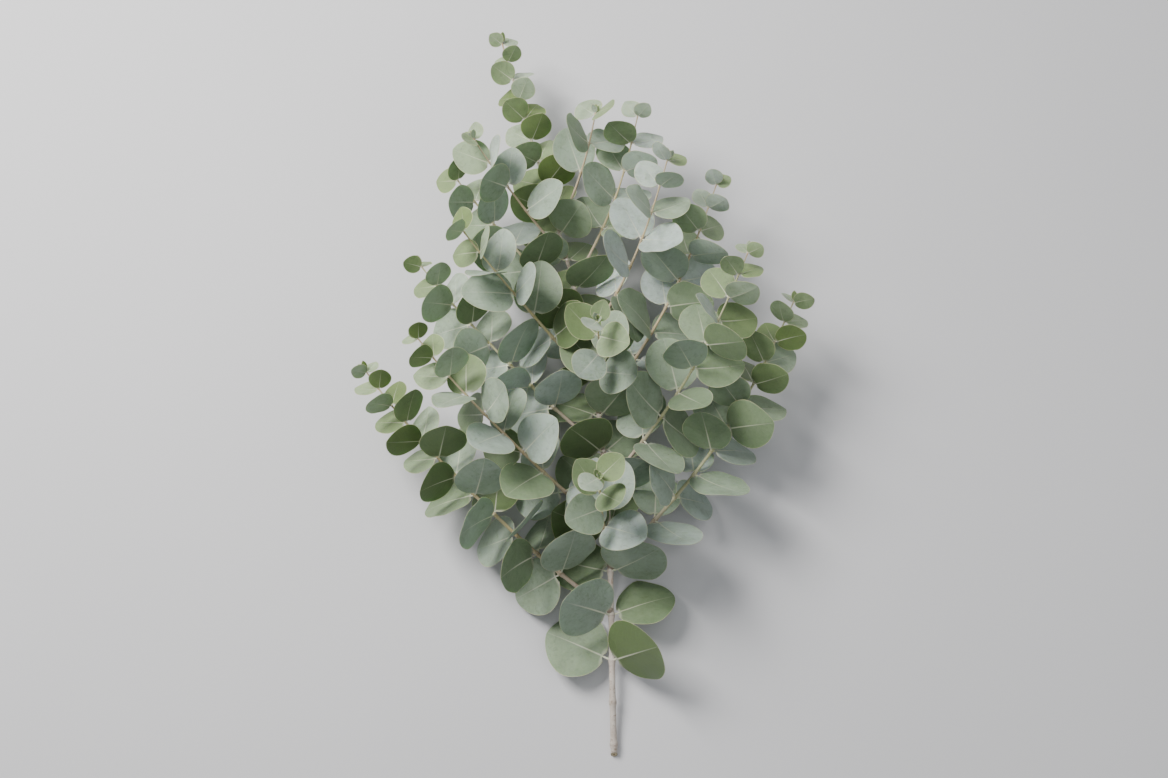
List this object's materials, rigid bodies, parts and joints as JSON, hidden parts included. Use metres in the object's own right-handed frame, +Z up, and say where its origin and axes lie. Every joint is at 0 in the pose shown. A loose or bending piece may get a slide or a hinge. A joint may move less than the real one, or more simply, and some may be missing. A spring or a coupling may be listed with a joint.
{
  "type": "eucalyptus branch",
  "caption": "Cut silver-dollar eucalyptus branch lying flat: a woody main stem with thin side shoots and round blue-grey leaves in opposite pairs, each pair turned a quarter from the last.",
  "frame": {"origin": "on the surface that the branch lies on, under the middle of the branch", "axes": "+Y from the cut end towards the tip of the main stem, +X to the right of it seen from above, +Z up from the surface"},
  "size_m": [0.4016, 0.6412, 0.1771],
  "materials": {
    "bark": "pale pinkish brown bark with a whitish waxy bloom, matt",
    "green_shoot": "yellow-green young stem and soft grey-green young leaves, matt",
    "leaf": "waxy blue-grey green leaf with a pale midrib and a thin pale margin, matt"
  },
  "bodies": {
    "root": {"main_stem": "bark", "main_stem_leaf_01_left": "leaf", "main_stem_leaf_01_right": "leaf", "main_stem_leaf_02_left": "leaf", "main_stem_leaf_02_right": "leaf", "main_stem_leaf_03_left": "leaf", "main_stem_leaf_03_right": "leaf", "main_stem_leaf_04_left": "leaf", "main_stem_leaf_04_right": "leaf", "main_stem_leaf_05_left": "leaf", "main_stem_leaf_05_right": "leaf", "main_stem_leaf_06_left": "leaf", "main_stem_leaf_06_right": "leaf", "main_stem_leaf_07_left": "leaf", "main_stem_leaf_07_right": "leaf", "main_stem_leaf_08_left": "leaf", "main_stem_leaf_08_right": "leaf", "main_stem_leaf_09_left": "leaf", "main_stem_leaf_09_right": "leaf", "main_stem_leaf_10_left": "leaf", "main_stem_leaf_10_right": "leaf", "main_stem_leaf_11_left": "leaf", "main_stem_leaf_11_right": "leaf", "main_stem_leaf_12_left": "leaf", "main_stem_leaf_12_right": "leaf", "main_stem_leaf_13_left": "leaf", "main_stem_leaf_13_right": "leaf", "side_shoot_1": "green_shoot", "side_shoot_10": "green_shoot", "side_shoot_11": "green_shoot", "side_shoot_12": "green_shoot", "side_shoot_13": "green_shoot", "side_shoot_14": "green_shoot", "side_shoot_1_leaf_01_left": "leaf", "side_shoot_1_leaf_01_right": "leaf", "side_shoot_1_leaf_02_left": "leaf", "side_shoot_1_leaf_02_right": "leaf", "side_shoot_2": "green_shoot", "side_shoot_2_leaf_01_left": "leaf", "side_shoot_2_leaf_01_right": "leaf", "side_shoot_2_leaf_02_left": "leaf", "side_shoot_2_leaf_02_right": "leaf", "side_shoot_3": "green_shoot", "side_shoot_3_leaf_01_left": "leaf", "side_shoot_3_leaf_01_right": "leaf", "side_shoot_4": "green_shoot", "side_shoot_4_leaf_01_left": "leaf", "side_shoot_4_leaf_01_right": "leaf", "side_shoot_5": "green_shoot", "side_shoot_5_leaf_01_left": "leaf", "side_shoot_5_leaf_01_right": "leaf", "side_shoot_6": "green_shoot", "side_shoot_6_leaf_01_left": "leaf", "side_shoot_6_leaf_01_right": "leaf", "side_shoot_7": "green_shoot", "side_shoot_7_leaf_01_left": "leaf", "side_shoot_7_leaf_01_right": "leaf", "side_shoot_8": "green_shoot", "side_shoot_9": "green_shoot"}
  },
  "joints": []
}
